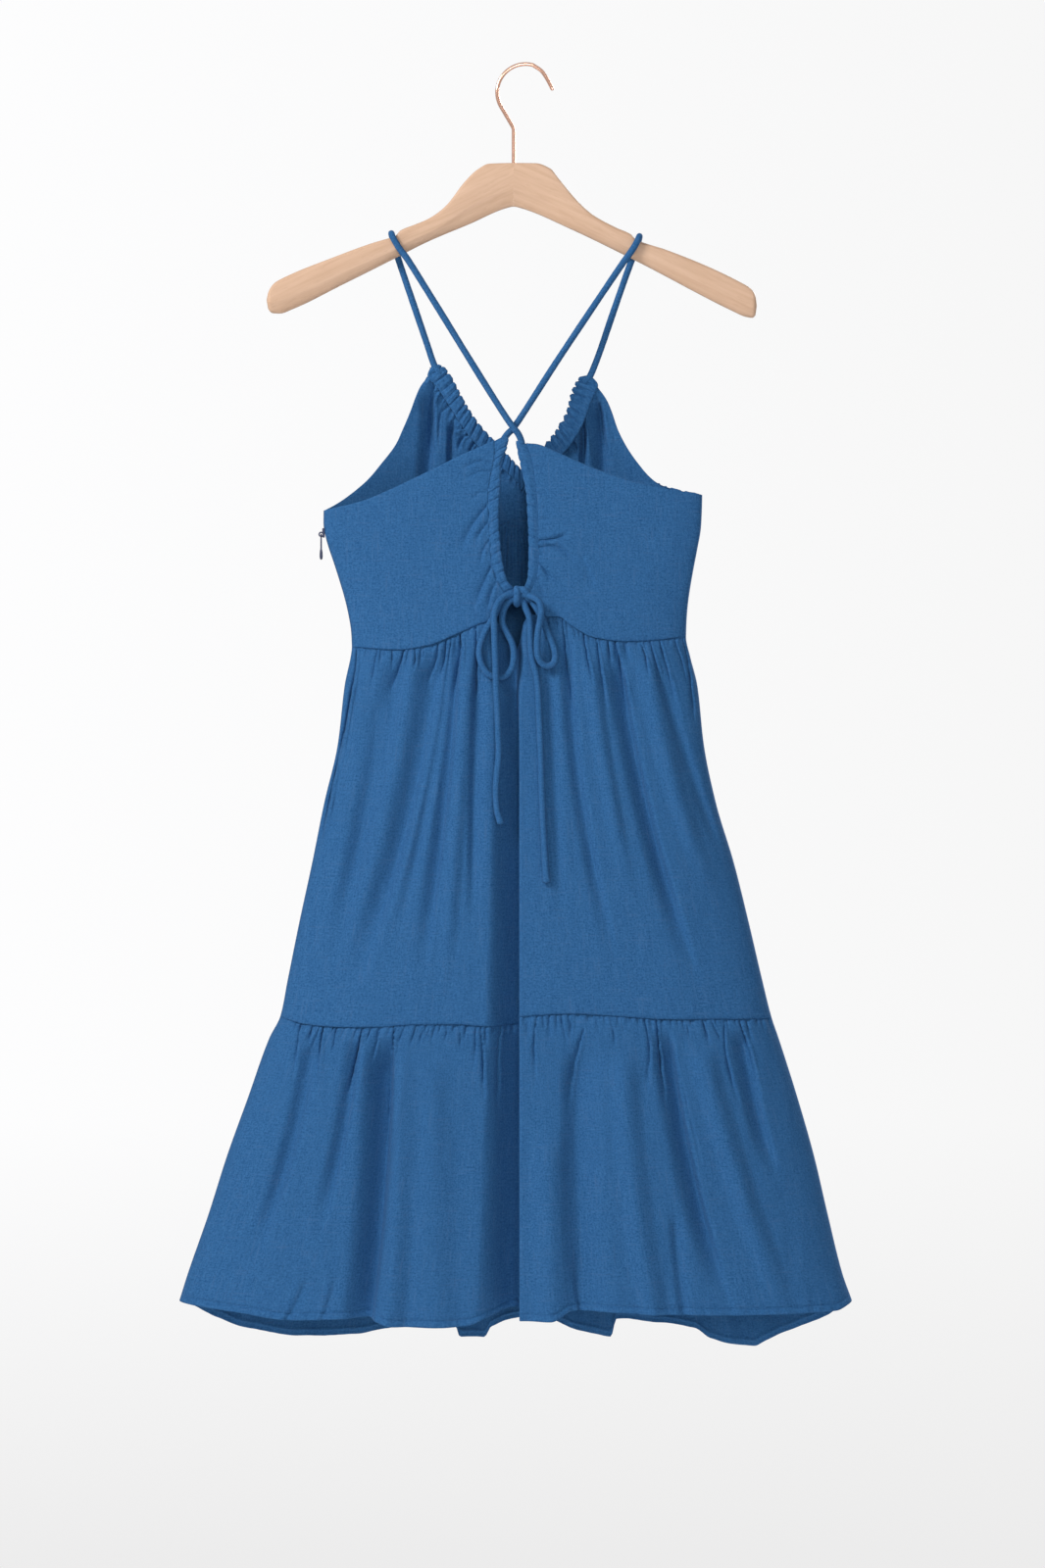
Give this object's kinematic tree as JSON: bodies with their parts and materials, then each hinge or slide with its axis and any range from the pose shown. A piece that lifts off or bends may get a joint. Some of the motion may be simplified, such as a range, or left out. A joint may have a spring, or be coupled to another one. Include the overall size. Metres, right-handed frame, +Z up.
{
  "type": "spaghetti strap dress on a clothes hanger",
  "caption": "Knee-length tiered spaghetti strap dress seen from the back, gathered, with a tied keyhole and crossed straps, hung flat on a wooden hanger with a wire hook.",
  "frame": {"origin": "the inner top of the hanger's hook, where a rail carries it, straight above the dress's middle", "axes": "+Z up along the hanging dress, +X to the image's right across the shoulders, +Y from the dress's back to its front, so the pictured back faces -Y"},
  "size_m": [0.6074, 0.1285, 1.1711],
  "materials": {
    "cloth": "matt slubbed cotton and linen crepe",
    "cord": "turned tubes of the same cloth",
    "zip": "small coated zip slider and pull tab",
    "wood": "pale beech, satin clear finish",
    "hook": "rose-gold plated round wire, polished"
  },
  "bodies": {
    "dress": {"back_bodice_left": "cloth", "back_bodice_right": "cloth", "back_casing_left": "cloth", "back_casing_right": "cloth", "front_cup_left": "cloth", "front_cup_right": "cloth", "front_casing_left": "cloth", "front_casing_right": "cloth", "skirt_back": "cloth", "skirt_front": "cloth", "flounce_back": "cloth", "flounce_front": "cloth", "strap_left": "cord", "strap_right": "cord", "bow_knot": "cord", "bow_loop_left": "cord", "bow_loop_right": "cord", "bow_tail_left": "cord", "bow_tail_right": "cord", "zip_slider": "zip", "hanger_arm_left": "wood", "hanger_arm_right": "wood", "hanger_hook": "hook"},
    "zip_pull": {"zip_pull": "zip"}
  },
  "joints": [
    {"name": "zip_pull_hinge", "type": "hinge", "parent": "dress", "child": "zip_pull", "pos_m": [-0.1852, 0, -0.4245], "axis": [0, 1, 0], "range_deg": [-4, 165]}
  ]
}
